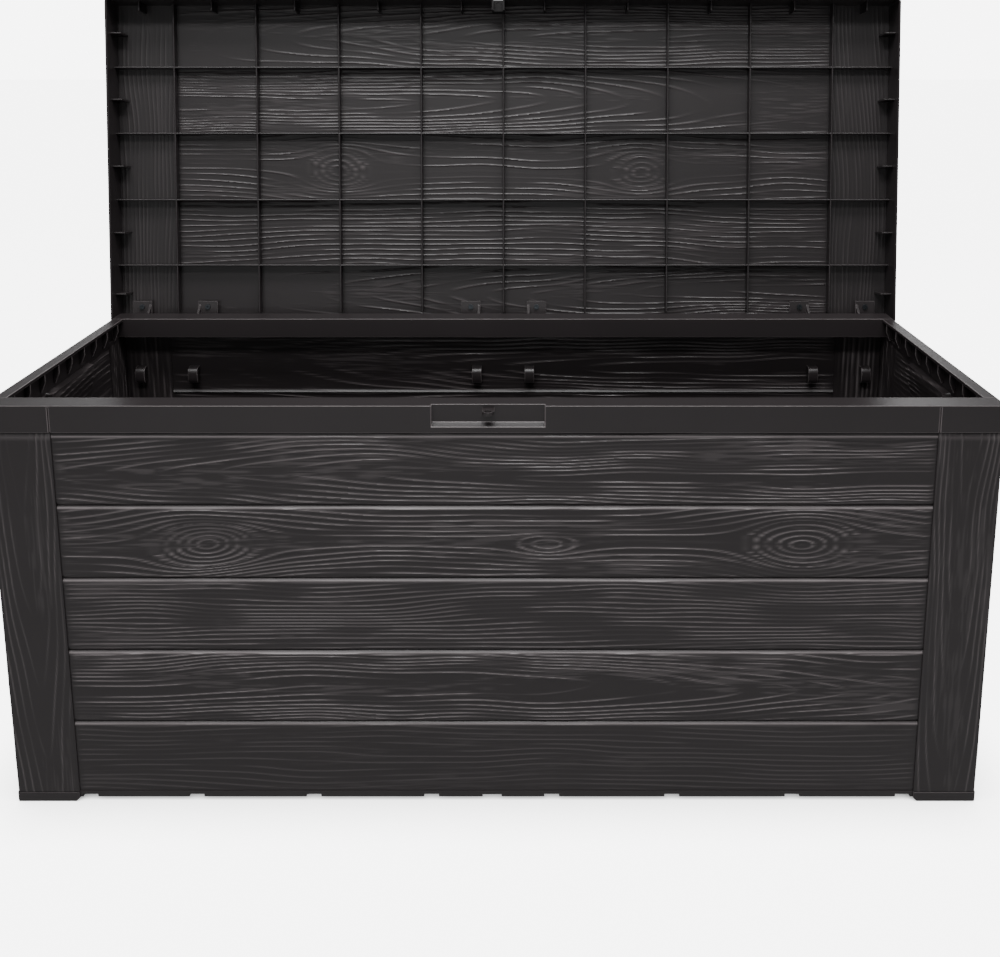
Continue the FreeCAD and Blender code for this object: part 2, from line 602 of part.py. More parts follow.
def lid_shell():
    """Tray with aprons, ribs, rest gussets and screw bosses; plank grooves on its top."""
    under = LID_TOP - LID_T
    places = [bx for x in HINGE_X.values() for bx in boss_places(x)]
    bosses = [rod_z(BOSS_R, bx, BOSS_Y, under - BOSS_H, under + 1) for bx in places]
    lid = joined([lid_tray()] + lid_ribs() + lid_gussets() + bosses)
    g = LID_GROOVE_W / 2
    ends = LID_RIB_X[-1]
    for y in LID_RIB_Y:
        groove = [(y - g, LID_TOP + 0.01), (y, LID_TOP - LID_GROOVE_DEPTH), (y + g, LID_TOP + 0.01)]
        lid = lid.cut(prism_x(groove, -ends, ends))
    for x in (-ends, ends):
        groove = [(x - g, LID_TOP + 0.01), (x, LID_TOP - LID_GROOVE_DEPTH), (x + g, LID_TOP + 0.01)]
        lid = lid.cut(prism_y(groove, LID_FRONT - 1, LID_REAR + 1))
    for x in HINGE_X.values():
        reach = LEAF_KNUCKLE_OUT + HINGE_WINDOW_SIDE
        inside = LID_REAR - LID_T - 0.01
        lid = lid.cut(box(x - reach, x + reach, inside, LID_REAR + OVER, LID_BOTTOM - OVER, HINGE_WINDOW_TOP))
        for bx in boss_places(x):
            lid = lid.cut(rod_z(SCREW_R + FIT, bx, BOSS_Y, under - BOSS_H - 1, under - 1))
    half = HASP_W / 2 + FIT
    window = box(LATCH_X - half, LATCH_X + half, LID_FRONT - 1, HASP_BACK + 0.2, LID_BOTTOM - 1, HASP_TOP + FIT)
    return lid.cut(window)


def lid_hasp():
    """The U-shaped pocket at the lid's front edge, with the plate that the shackle goes through."""
    half, wall = HASP_W / 2, HASP_WALL
    front = LID_FRONT + 0.2
    block = box(LATCH_X - half, LATCH_X + half, front, HASP_BACK, LID_BOTTOM + 0.5, HASP_TOP)
    inside = half - wall
    room = box(LATCH_X - inside, LATCH_X + inside, front - 1, HASP_BACK - wall, LID_BOTTOM, HASP_TOP - wall)
    throat = box(LATCH_X - inside, LATCH_X + inside, front - 1, HASP_BACK + 1, LID_BOTTOM, HASP_PLATE_Z - 0.5)
    plate_top = HASP_PLATE_Z + HASP_PLATE_T
    plate = box(LATCH_X - inside - 1, LATCH_X + inside + 1, front, HASP_BACK - 1, HASP_PLATE_Z, plate_top)
    hasp = joined([block.cut(room).cut(throat), plate])
    return hasp.cut(rod_z(SHACKLE_R, LATCH_X, SHACKLE_Y, HASP_PLATE_Z - 1, HASP_PLATE_Z + 5))


# ---------------------------------------------------------------- assembly
def nodes():
    """Every piece by name, in its place with the lid open."""
    made = {"floor_panel": floor_panel(), "front_panel": front_panel(), "rear_panel": rear_panel()}
    right, rail = side_panel(), side_top_rail()
    made["right_side_panel"], made["left_side_panel"] = right, flipped(right, x=True)
    made["right_top_rail"], made["left_top_rail"] = rail, flipped(rail, x=True)
    made["front_top_rail"], made["rear_top_rail"] = front_top_rail(), rear_top_rail()
    post, foot = corner_post(), corner_foot()
    for row, rear in (("front", False), ("rear", True)):
        for hand, right_hand in (("left", False), ("right", True)):
            placed = flipped(post, x=right_hand, y=rear)
            made[f"corner_post_{row}_{hand}"] = bracket_seats(placed) if rear else placed
            made[f"corner_foot_{row}_{hand}"] = flipped(foot, x=right_hand, y=rear)
    made["lock_staple"] = lock_staple()
    for name, x in HINGE_X.items():
        made[f"hinge_bracket_{name}"] = hinge_bracket(x)
        made[f"hinge_pin_{name}"] = hinge_pin(x)
        made[f"lid_hinge_leaf_{name}"] = opened(lid_hinge_leaf(x))
    made["lid_hinge_screws"] = opened(lid_hinge_screws())
    made["lid_hasp"] = opened(lid_hasp())
    made["lid_shell"] = opened(lid_shell())
    return {name: moved(shape, y=-origin_y()) for name, shape in made.items()}


def origin_y():
    """Halfway from the tip of the staple to the rearmost edge of the open lid."""
    run = AXIS_Y - LID_FRONT - LID_EDGE_R
    rise = LID_TOP - LID_EDGE_R - AXIS_Z
    turn = math.radians(OPEN_DEG)
    rear = AXIS_Y - run * math.cos(turn) + rise * math.sin(turn) + LID_EDGE_R
    return (rear + STAPLE_TIP) / 2


os.makedirs("parts", exist_ok=True)
for node_name, shape in nodes().items():
    shape.exportStep(f"parts/{node_name}.step")
    print(node_name, len(shape.Solids), "solids", shape.isValid(), round(shape.Volume / 1000, 1), "cm3")
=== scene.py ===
import json
import math

import bmesh
import bpy
import numpy as np
from mathutils import Matrix, Vector


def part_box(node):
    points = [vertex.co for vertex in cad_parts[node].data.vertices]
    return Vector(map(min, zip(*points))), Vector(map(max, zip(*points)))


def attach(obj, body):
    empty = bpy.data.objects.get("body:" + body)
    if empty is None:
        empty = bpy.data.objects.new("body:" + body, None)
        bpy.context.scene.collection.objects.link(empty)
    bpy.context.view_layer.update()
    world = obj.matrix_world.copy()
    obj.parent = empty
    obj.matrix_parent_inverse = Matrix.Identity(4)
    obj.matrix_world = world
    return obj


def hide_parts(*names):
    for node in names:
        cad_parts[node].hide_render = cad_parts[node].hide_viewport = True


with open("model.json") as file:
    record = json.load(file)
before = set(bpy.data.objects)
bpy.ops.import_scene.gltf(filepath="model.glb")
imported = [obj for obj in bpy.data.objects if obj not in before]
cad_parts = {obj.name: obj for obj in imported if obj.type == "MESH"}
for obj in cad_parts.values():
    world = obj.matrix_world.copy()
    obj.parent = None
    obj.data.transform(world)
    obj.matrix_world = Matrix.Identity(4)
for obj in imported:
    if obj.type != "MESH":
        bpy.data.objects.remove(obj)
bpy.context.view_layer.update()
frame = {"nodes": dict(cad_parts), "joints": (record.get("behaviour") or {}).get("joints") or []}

# Looks for the deck storage box. Everything is drawn in millimetres about the middle of the
# body's footprint, lid shut, as the part is designed, and placed in the frame by place().

# ---- Sizes the looks share with the part ----
HALF_W = 581.0
HALF_D = 232.5
POST_W = 75.25
POST_D = 75.0
POST_T = 7.0
FACE = 230.0
SIDE_FACE = 578.5
PANEL_T = 4.5
PANEL_LOW = 12.0
PANEL_HIGH = 467.5
PLANK_LINES = (103.5, 196.5, 288.2, 378.4)
WALL_HALF = 505.75
SIDE_HALF = 157.5
LID_W = 1198.0
LID_FRONT = -246.5
LID_REAR = 244.5
LID_LOW = 485.0
LID_TOP = 537.0
LID_T = 3.0
RIB_X = (-WALL_HALF, -379.3, -252.9, -126.4, 0.0, 126.4, 252.9, 379.3, WALL_HALF)
RIB_Y = (-146.9, -46.0, 56.0, 157.2)
RIB_T = 2.5
RIB_DEEP = 17.0
RIB_REAR = 230.0
WEB_LOW = 500.5
SIDE_WEB = 17.5
FRONT_WEB = 14.5
HINGE_X = (-511.0, 0.0, 511.0)
HINGE_NAMES = ("left", "centre", "right")
HASP_X = -7.0

MM = 0.001
JOINT = frame["joints"][0]
AXIS = Vector(JOINT["pos_m"])
OPEN = math.radians(JOINT["range_deg"][1])
DRAWN_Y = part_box("front_top_rail")[0].y / MM + HALF_D
TO_FRAME = Matrix.Translation((0, DRAWN_Y * MM, 0)) @ Matrix.Scale(MM, 4)
SWING = Matrix.Translation(AXIS) @ Matrix.Rotation(-OPEN, 4, "X") @ Matrix.Translation(-AXIS)


# ---------------------------------------------------------------- camera and light
def camera():
    """The view from in front and above; the lens looks a little down, and the rest is shift."""
    data = bpy.data.cameras.new("camera")
    data.sensor_width = 36.0
    data.lens = 42.08
    data.shift_x = -0.0287
    data.shift_y = -0.2
    data.clip_end = 50.0
    made = bpy.data.objects.new("camera", data)
    made.location = (0.039, -1.5557, 0.900)
    made.rotation_euler = (math.radians(90 - 11.29), 0, 0)
    bpy.context.scene.collection.objects.link(made)
    bpy.context.scene.camera = made


def area_light(name, place_at, aim, size, power):
    data = bpy.data.lights.new(name, "AREA")
    data.shape = "RECTANGLE"
    data.size, data.size_y = size
    data.energy = power
    made = bpy.data.objects.new(name, data)
    made.location = place_at
    made.rotation_mode = "QUATERNION"
    made.rotation_quaternion = (Vector(aim) - Vector(place_at)).to_track_quat("-Z", "Y")
    bpy.context.scene.collection.objects.link(made)


def lights():
    """Soft panels above, in front, behind and at the side, and a white studio all round.

    The studio is brighter to the camera than to the box, so the paper stays white."""
    area_light("key_light", (-0.25, -2.2, 2.95), (0, 0.1, 0.5), (1.9, 0.4), 50)
    area_light("overhead_light", (0.0, -0.75, 3.1), (0, -0.1, 0.4), (2.6, 0.7), 98)
    area_light("front_fill", (-0.5, -3.6, 0.9), (0, 0, 0.15), (2.6, 1.2), 14)
    area_light("back_light", (0.0, 3.4, 2.2), (0, 0.1, 0.5), (3.6, 1.2), 60)
    area_light("side_light", (3.4, 0.4, 2.0), (0, 0.1, 0.4), (1.6, 1.4), 44)
    world = bpy.data.worlds.new("studio")
    world.use_nodes = True
    tree = world.node_tree
    back = tree.nodes["Background"]
    seen = add(tree, "ShaderNodeLightPath").outputs["Is Camera Ray"]
    level = add(tree, "ShaderNodeMapRange", {"Value": seen, "To Min": 0.2, "To Max": 7.0})
    tree.links.new(level.outputs["Result"], back.inputs["Strength"])
    back.inputs["Color"].default_value = rgb("#ffffff")
    bpy.context.scene.world = world


# ---------------------------------------------------------------- materials
def rgb(text):
    """An sRGB hex colour as linear red, green, blue and one."""
    parts = [int(text[k:k + 2], 16) / 255 for k in (1, 3, 5)]
    return [c / 12.92 if c <= 0.04045 else ((c + 0.055) / 1.055) ** 2.4 for c in parts] + [1.0]


def add(tree, kind, feeds=None, **settings):
    """One node with its settings; feeds gives each input a value or another node's socket."""
    made = tree.nodes.new(kind)
    for key, value in settings.items():
        setattr(made, key, value)
    for key, value in (feeds or {}).items():
        if isinstance(value, bpy.types.NodeSocket):
            tree.links.new(value, made.inputs[key])
        else:
            made.inputs[key].default_value = value
    return made


def shader(name):
    """A new material's tree, its shader and its Object coordinates."""
    material = bpy.data.materials.new(name)
    material.use_nodes = True
    tree = material.node_tree
    tree.nodes.clear()
    surface = add(tree, "ShaderNodeBsdfPrincipled")
    out = add(tree, "ShaderNodeOutputMaterial")
    tree.links.new(surface.outputs["BSDF"], out.inputs["Surface"])
    return material, tree, surface, add(tree, "ShaderNodeTexCoord").outputs["Object"]


def per_metre(size_mm):
    """The scale that makes a pattern's features size_mm wide on Object coordinates."""
    return 1000.0 / size_mm


def moulded_polypropylene(name, land, crest, gloss=0.4):
    """Charcoal polypropylene, injection moulded in an etched tool.

    The eye sees a soft satin sheen, slow cloudy changes of tone where the melt flowed, and a very fine
    etched tooth. Where the relief attribute is high, on grain crests and on plank and rim edges, the
    colour goes to the crest colour: a painted highlight for the light those raised lines and edges catch."""
    material, tree, surface, where = shader(name)
    relief = add(tree, "ShaderNodeAttribute", attribute_name="relief").outputs["Fac"]
    cloud = add(tree, "ShaderNodeTexNoise", {"Vector": where, "Scale": per_metre(140.0), "Detail": 2.0})
    tooth = add(tree, "ShaderNodeTexNoise", {"Vector": where, "Scale": per_metre(1.6), "Detail": 3.0})
    # Painted highlight: the relief attribute mixes in the paler crest colour on crests and edges.
    tone = add(tree, "ShaderNodeMix", {"Factor": relief, "A": rgb(land), "B": rgb(crest)}, data_type="RGBA")
    mapped = add(tree, "ShaderNodeMapRange", {"Value": cloud.outputs["Fac"], "To Min": 0.84, "To Max": 1.16})
    grey = add(tree, "ShaderNodeCombineColor",
               {k: mapped.outputs["Result"] for k in ("Red", "Green", "Blue")})
    mixed = add(tree, "ShaderNodeMix", {"Factor": 1.0}, data_type="RGBA", blend_type="MULTIPLY")
    tree.links.new(tone.outputs[2], mixed.inputs[6])
    tree.links.new(grey.outputs["Color"], mixed.inputs[7])
    tree.links.new(mixed.outputs[2], surface.inputs["Base Color"])
    rough = add(tree, "ShaderNodeMapRange", {"Value": tooth.outputs["Fac"], "To Min": gloss - 0.05,
                                             "To Max": gloss + 0.07})
    tree.links.new(rough.outputs["Result"], surface.inputs["Roughness"])
    bump = add(tree, "ShaderNodeBump", {"Height": tooth.outputs["Fac"], "Strength": 0.16, "Distance": 0.0004})
    tree.links.new(bump.outputs["Normal"], surface.inputs["Normal"])
    surface.inputs["IOR"].default_value = 1.49
    surface.inputs["Specular IOR Level"].default_value = 0.5
    return material


def turned_acetal(name):
    """Black acetal rod, turned and cut to length: fine turning rings and a waxy shine."""
    material, tree, surface, where = shader(name)
    rings = add(tree, "ShaderNodeTexNoise", {"Vector": where, "Scale": per_metre(0.8), "Detail": 1.0})
    tone = add(tree, "ShaderNodeMix", {"Factor": rings.outputs["Fac"]}, data_type="RGBA")
    tone.inputs[6].default_value = rgb("#161616")
    tone.inputs[7].default_value = rgb("#222222")
    tree.links.new(tone.outputs[2], surface.inputs["Base Color"])
    bump = add(tree, "ShaderNodeBump", {"Height": rings.outputs["Fac"], "Strength": 0.1, "Distance": 0.0002})
    tree.links.new(bump.outputs["Normal"], surface.inputs["Normal"])
    surface.inputs["Roughness"].default_value = 0.32
    surface.inputs["IOR"].default_value = 1.48
    return material


def zinc_plated_steel(name):
    """Cold-headed steel screws, zinc plated and black passivated: dark, slightly mottled metal."""
    material, tree, surface, where = shader(name)
    mottle = add(tree, "ShaderNodeTexNoise", {"Vector": where, "Scale": per_metre(2.5), "Detail": 4.0})
    tone = add(tree, "ShaderNodeMix", {"Factor": mottle.outputs["Fac"]}, data_type="RGBA")
    tone.inputs[6].default_value = rgb("#34373a")
    tone.inputs[7].default_value = rgb("#4c5054")
    tree.links.new(tone.outputs[2], surface.inputs["Base Color"])
    rough = add(tree, "ShaderNodeMapRange", {"Value": mottle.outputs["Fac"], "To Min": 0.28, "To Max": 0.42})
    tree.links.new(rough.outputs["Result"], surface.inputs["Roughness"])
    surface.inputs["Metallic"].default_value = 1.0
    return material


def seamless_paper(name):
    """Matt white studio paper: almost even, with the faint tooth of uncoated stock.

    It glows evenly to the camera alone, and the glow is dimmed near the box by ambient occlusion: a painted
    contact shadow.
    """
    material, tree, surface, where = shader(name)
    tooth = add(tree, "ShaderNodeTexNoise", {"Vector": where, "Scale": per_metre(3.0), "Detail": 2.0})
    tone = add(tree, "ShaderNodeMix", {"Factor": tooth.outputs["Fac"]}, data_type="RGBA")
    tone.inputs[6].default_value = rgb("#9a9a9a")
    tone.inputs[7].default_value = rgb("#a2a2a2")
    tree.links.new(tone.outputs[2], surface.inputs["Base Color"])
    surface.inputs["Roughness"].default_value = 0.9
    surface.inputs["Emission Color"].default_value = rgb("#ffffff")
    seen = add(tree, "ShaderNodeLightPath").outputs["Is Camera Ray"]
    # Painted contact shadow: the glow is dimmed where the box closes in over the paper.
    painted_contact_shadow = add(tree, "ShaderNodeAmbientOcclusion", {"Distance": 0.09}).outputs["AO"]
    glow = add(tree, "ShaderNodeMath", {0: seen, 1: painted_contact_shadow}, operation="MULTIPLY").outputs[0]
    level = add(tree, "ShaderNodeMath", {0: glow, 1: 6.2}, operation="MULTIPLY").outputs[0]
    tree.links.new(level, surface.inputs["Emission Strength"])
    return material


# ---------------------------------------------------------------- relief
HILLS = 64


def noise(u, v, size_u, size_v, seed):
    """Smooth random hills between 0 and 1, each about size_u by size_v."""
    table = np.random.default_rng(seed).random((HILLS, HILLS))
    a, b = u / size_u, v / size_v
    i, j = np.floor(a).astype(int), np.floor(b).astype(int)
    s, t = a - i, b - j
    s, t = s * s * (3 - 2 * s), t * t * (3 - 2 * t)
    i, j, k, m = i % HILLS, j % HILLS, (i + 1) % HILLS, (j + 1) % HILLS
    low = table[i, j] * (1 - s) + table[k, j] * s
    high = table[i, m] * (1 - s) + table[k, m] * s
    return low * (1 - t) + high * t


CREST = 0.7
ARCH_BAND = 40.0


def grain(u, v, seed, spacing=9.0, arches=(), knots=(), faint=1.0, middle=45.0):
    """Raised grain lines, 0 on the land between them to 1 on a crest, over a u by v grid in mm.

    A crest is about CREST mm to each side, and an arch bends the lines within ARCH_BAND mm.
    arches: (tip u, run per ring, reach, side), side 1 where they open towards high u.
    knots: (u, radius across, stretch along), round which the lines part."""
    drift = (noise(u, v, 300, 70, seed) - 0.5) * 22 + (noise(u, v, 95, 26, seed + 1) - 0.5) * 7
    across = v - middle + drift
    stream = across.copy()
    for ku, radius, stretch in knots:
        r2 = ((u - ku) / stretch) ** 2 + across ** 2 + 1e-6
        stream = stream * (1 - np.minimum(radius ** 2 / r2, 1))
    bowl = np.sqrt(stream ** 2 + (0.0 if knots else spacing * 2.0) ** 2)
    phase = bowl / spacing if (arches or knots) else across / spacing
    for tip, run, reach, side in arches:
        phase = phase - reach / run * np.tanh((u - tip) * side / reach) * np.exp(-(across / ARCH_BAND) ** 2)
    for ku, radius, stretch in knots:
        r = np.sqrt(((u - ku) / stretch) ** 2 + across ** 2)
        phase = np.where(r < radius, r / (spacing * 0.85), phase)
    slope_u = np.gradient(phase, u[:, 0], axis=0)
    slope_v = np.gradient(phase, v[0], axis=1)
    steep = np.clip(np.hypot(3.0 * slope_u, slope_v), 1e-4, 1.7 / spacing)
    crest = np.exp(-(np.abs(phase - np.round(phase)) / steep / CREST) ** 2)
    flat = np.clip(np.hypot(slope_u, slope_v) * spacing / 0.6, 0, 1) ** 2
    crest = crest * flat * np.clip(2.2 * np.abs(slope_v) / (np.hypot(slope_u, slope_v) + 1e-4), 0.1, 1)
    patchy = np.clip(noise(u, v, 85, 9, seed + 2) * 2.8 - 0.5, 0.15, 1)
    for ku, radius, stretch in knots:
        eye = ((u - ku) / stretch / radius) ** 2 + (across / radius) ** 2
        patchy = np.maximum(patchy, 0.6 * np.exp(-(eye / 1.6) ** 2))
    fibre = np.clip(noise(u, v, 26, 1.7, seed + 3) * noise(u, v, 160, 22, seed + 4) * 4.5 - 1.7, 0, 0.8)
    return faint * np.clip(np.maximum(crest * patchy, fibre * 0.3), 0, 1)


def blend_rows(field, edges, v):
    """Plank by plank relief along v: field(k) gives the relief of plank k over the whole grid."""
    total = np.zeros_like(v)
    for k, (low, high) in enumerate(zip(edges[:-1], edges[1:])):
        part = (v >= low) & (v <= high)
        total[part] = field(k)[part]
    return total


def samples(low, high, step, near=()):
    """Even samples between two planks' edges with extra ones by the edges; an even count of steps."""
    inner = [low + d for d in near] + [high - d for d in near]
    start = low + (near[-1] if near else 0)
    end = high - (near[-1] if near else 0)
    count = max(2, 2 * round((end - start) / step / 2))
    inner += list(np.linspace(start, end, count + 1))
    return sorted(set(np.round(inner, 4)))


def stations(edges, step, near=(0.0, 0.8, 1.6, 2.6, 3.8, 5.2)):
    """Samples over several planks in a row, closer together beside each joint line."""
    out = []
    for low, high in zip(edges[:-1], edges[1:]):
        one = samples(low, high, step, near)
        if len(one) % 2 == 0:
            one.insert(len(one) // 2, (one[len(one) // 2 - 1] + one[len(one) // 2]) / 2)
        out += one if not out else one[1:]
    return np.array(out)


def joint_dip(v, lines, depth, half):
    """How far the skin sinks into the joint lines between planks, with rounded shoulders."""
    dip = np.zeros_like(v)
    for line in lines:
        dip = np.maximum(dip, depth * np.clip(1 - np.abs(v - line) / half, 0, 1) ** 1.5)
    return dip


def edge_fade(u, low, high, width=2.5):
    """0 at both ends of a run and 1 a little way in, so that relief dies out before an edge."""
    return np.clip(np.minimum(u - low, high - u) / width, 0, 1)


# ---------------------------------------------------------------- meshes
def slab(front, back):
    """A closed skin from two grids of points; the back one may be a whole number of times coarser."""
    (nu, nv), (mu, mv) = front.shape[:2], back.shape[:2]
    ku, kv = (nu - 1) // (mu - 1), (nv - 1) // (mv - 1)
    f = np.arange(nu * nv).reshape(nu, nv)
    b = nu * nv + np.arange(mu * mv).reshape(mu, mv)
    faces = [list(q) for q in np.stack([f[:-1, :-1], f[:-1, 1:], f[1:, 1:], f[1:, :-1]], -1).reshape(-1, 4)]
    faces += [list(q) for q in np.stack([b[:-1, :-1], b[1:, :-1], b[1:, 1:], b[:-1, 1:]], -1).reshape(-1, 4)]
    for i in range(mu - 1):
        faces.append(list(f[i * ku:(i + 1) * ku + 1, 0]) + [b[i + 1, 0], b[i, 0]])
        faces.append(list(f[i * ku:(i + 1) * ku + 1, -1][::-1]) + [b[i, -1], b[i + 1, -1]])
    for j in range(mv - 1):
        faces.append(list(f[0, j * kv:(j + 1) * kv + 1][::-1]) + [b[0, j], b[0, j + 1]])
        faces.append(list(f[-1, j * kv:(j + 1) * kv + 1]) + [b[-1, j + 1], b[-1, j]])
    return np.concatenate([front.reshape(-1, 3), back.reshape(-1, 3)]), faces


def grid(x, y, z):
    return np.stack(np.broadcast_arrays(x, y, z), -1).astype(float)


SHARP = 38.0
ROUNDED_SHARP = 50.0


def place(name, points, faces, look, replaces, body="box", relief=None):
    """A finished piece from drawn points: in the frame, shaded, named, riding, and with the parts it replaces
    hidden.
    """
    mesh = bpy.data.meshes.new(name)
    mesh.from_pydata([tuple(p) for p in np.asarray(points).tolist()], [], faces)
    if relief is not None:
        layer = mesh.attributes.new("relief", "FLOAT", "POINT")
        values = np.zeros(len(mesh.vertices), np.float32)
        values[:relief.size] = relief.ravel()
        layer.data.foreach_set("value", values)
    mesh.transform(SWING @ TO_FRAME if body == "lid" else TO_FRAME)
    return finished(name, mesh, look, replaces, body)


def finished(name, mesh, look, replaces, body, sharp=SHARP):
    """A mesh made a piece: normals out, smooth up to the sharp angle, painted, riding, and with the parts it
    replaces hidden.
    """
    shape = bmesh.new()
    shape.from_mesh(mesh)
    bmesh.ops.recalc_face_normals(shape, faces=shape.faces)
    shape.to_mesh(mesh)
    shape.free()
    for face in mesh.polygons:
        face.use_smooth = True
    mesh.set_sharp_from_angle(angle=math.radians(sharp))
    mesh.materials.clear()
    mesh.materials.append(look)
    made = bpy.data.objects.new(name, mesh)
    bpy.context.scene.collection.objects.link(made)
    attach(made, body)
    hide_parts(*replaces)
    return made


def rounded_copy(node, width, look, body, segments=2):
    """A piece of the part with its edges rounded by width mm, as a mould's radii leave them.

    The rounded faces take the paler crest colour: a painted highlight along every edge.
    """
    shape = bmesh.new()
    shape.from_mesh(frame["nodes"][node].data)
    bmesh.ops.remove_doubles(shape, verts=shape.verts, dist=1e-5)
    bmesh.ops.dissolve_limit(shape, angle_limit=math.radians(1.0), verts=shape.verts, edges=shape.edges)
    bmesh.ops.recalc_face_normals(shape, faces=shape.faces)
    corners = [e for e in shape.edges if len(e.link_faces) == 2 and e.calc_face_angle(0) > math.radians(40)]
    # Painted highlight: the bevel faces get relief 1, and so the paler crest colour.
    painted_highlight = shape.faces.layers.float.new("relief")
    bent = bmesh.ops.bevel(shape, geom=corners, offset=width * MM, offset_type="OFFSET", segments=segments,
                           profile=0.5, affect="EDGES", clamp_overlap=True)
    for face in bent["faces"]:
        face[painted_highlight] = 1.0
    mesh = bpy.data.meshes.new(node + "_rounded")
    shape.to_mesh(mesh)
    shape.free()
    made = finished(node + "_rounded", mesh, look, [node], body, ROUNDED_SHARP)
    weighted = made.modifiers.new("weighted", "WEIGHTED_NORMAL")
    weighted.keep_sharp = True
    bake(made)
    return made


def bake(thing):
    """Swaps an object's modifiers for the plain mesh they make."""
    ready = thing.evaluated_get(bpy.context.evaluated_depsgraph_get())
    mesh = bpy.data.meshes.new_from_object(ready)
    thing.modifiers.clear()
    thing.data = mesh


# ---------------------------------------------------------------- walls
FRONT_GRAIN = (
    dict(seed=11, spacing=7.0, faint=0.35),
    dict(seed=23, arches=((925, 60, 330, -1),), middle=44.0, spacing=7.2),
    dict(seed=37, spacing=5.4, faint=0.75),
    dict(seed=41, knots=((172, 30, 2.1), (566, 11, 3.0), (862, 27, 2.4)), middle=44.0, spacing=6.6),
    dict(seed=53, arches=((60, 62, 360, 1),), middle=36.0, spacing=7.2),
)
REAR_GRAIN = (
    dict(seed=61, arches=((300, 60, 300, 1),), spacing=8.5),
    dict(seed=67, spacing=8.0),
    dict(seed=71, knots=((420, 24, 1.8),)),
    dict(seed=79, spacing=6.0, faint=0.8),
    dict(seed=83, spacing=5.6),
)
SIDE_GRAIN = (
    dict(seed=91, spacing=8.0),
    dict(seed=97, arches=((60, 55, 200, 1),)),
    dict(seed=101, knots=((180, 22, 1.7),)),
    dict(seed=103, arches=((250, 50, 180, -1),)),
    dict(seed=107, faint=0.8),
)
EDGES = (PANEL_LOW,) + PLANK_LINES + (PANEL_HIGH,)
CUT = 0.95
GROOVE_DEEP, GROOVE_HALF = 3.3, 4.4
RIDGE_HIGH = 2.5
FADE = 4.5
TOP_TURN, TOP_TURN_HIGH = 2.2, 6.5
# Painted highlight: how much paler the grain crests are drawn.
CREST_HIGHLIGHT = 0.7


def plank_relief(u, z, looks, shift=0):
    """Relief 0 to 1 over a wall of planks; u starts at 0 at the wall's left end."""
    def field(k):
        spec = dict(looks[k])
        spec["seed"] += shift
        return grain(u, z - EDGES[k], **spec)
    return blend_rows(field, EDGES, z)


KNOT_EXTRA, KNOT_REACH, DENSE = 1.6, 45.0, 800


def closer_by_knots(half, count, looks):
    """Places along a wall, nearly three times closer together by the knots in its planks."""
    far = np.linspace(0, 2 * half, DENSE)
    knots = [k[0] for spec in looks for k in spec.get("knots", ())]
    density = 1 + sum(KNOT_EXTRA * np.exp(-((far - k) / KNOT_REACH) ** 2) for k in knots)
    share = np.concatenate([[0], np.cumsum((density[1:] + density[:-1]) / 2)])
    return np.interp(np.linspace(0, share[-1], count + 1), share, far) - half


def shoulders(z, tops, below=2.2, width=1.1):
    """Where the upper edge of each plank turns over: 1 there, 0 elsewhere, a painted highlight for the light
    from above on that edge.
    """
    return np.max([np.exp(-((t - z - below) / width) ** 2) for t in tops], axis=0)


def wall(name, half, face, looks, look, replaces, turn, steps, thin_u=3, thin_v=2, dent=None):
    """A plank wall drawn along X, outer face at y = -face, then turned about Z by quarter turns."""
    u_step, v_step = steps
    across = stations(EDGES, v_step)
    count = thin_u * round(2 * half / u_step / thin_u)
    along = closer_by_knots(half, count, looks)
    if dent is not None:
        along, thin_u, thin_v = dent["along"](along), 1, 1
    u, z = np.meshgrid(along, across, indexing="ij")
    fade = edge_fade(u, -half, half) * np.min([np.clip(np.abs(z - e) / FADE, 0, 1) for e in EDGES], axis=0)
    relief = plank_relief(u + half, z, looks) * fade
    dip = joint_dip(z, PLANK_LINES, GROOVE_DEEP, GROOVE_HALF)
    top = TOP_TURN * np.clip(1 - (PANEL_HIGH - z) / TOP_TURN_HIGH, 0, 1) ** 1.4
    push = dent["outer"](u, z) if dent else 0.0
    front = grid(u, -face + CUT * (1 - relief) + dip + top + push, z)
    ui, zi = u[::thin_u, ::thin_v], z[::thin_u, ::thin_v]
    back_relief = plank_relief(half - ui, zi, looks[::-1], shift=5) * fade[::thin_u, ::thin_v]
    ridge = joint_dip(zi, PLANK_LINES, RIDGE_HIGH, GROOVE_HALF)
    bulge = dent["inner"](ui, zi) if dent else 0.0
    back = grid(ui, -face + PANEL_T + ridge + bulge - CUT * (1 - back_relief), zi)
    points, faces = slab(front, back)
    # Painted highlight: the plank top edges and the grain crests are drawn paler through the relief
    # attribute.
    upper = [shoulders(z, EDGES[1:-1]), shoulders(z, EDGES[-1:], 5.0, 1.3)]
    painted_highlight = np.max([CREST_HIGHLIGHT * relief] + upper, axis=0)
    shade = np.concatenate([painted_highlight.ravel(), CREST_HIGHLIGHT * back_relief.ravel()])
    points = points @ np.array(Matrix.Rotation(math.radians(90 * turn), 3, "Z")).T
    return place(name, points, faces, look, replaces, relief=shade)


GRIP_HALF, GRIP_FOOT, GRIP_FULL, GRIP_HEAD, GRIP_IN = 69.5, 412.0, 451.5, 463.5, 10.3
LEDGE_HALF, LEDGE_FOOT, LEDGE_FULL, LEDGE_HEAD, LEDGE_IN = 72.5, 405.0, 455.0, 466.3, 9.3


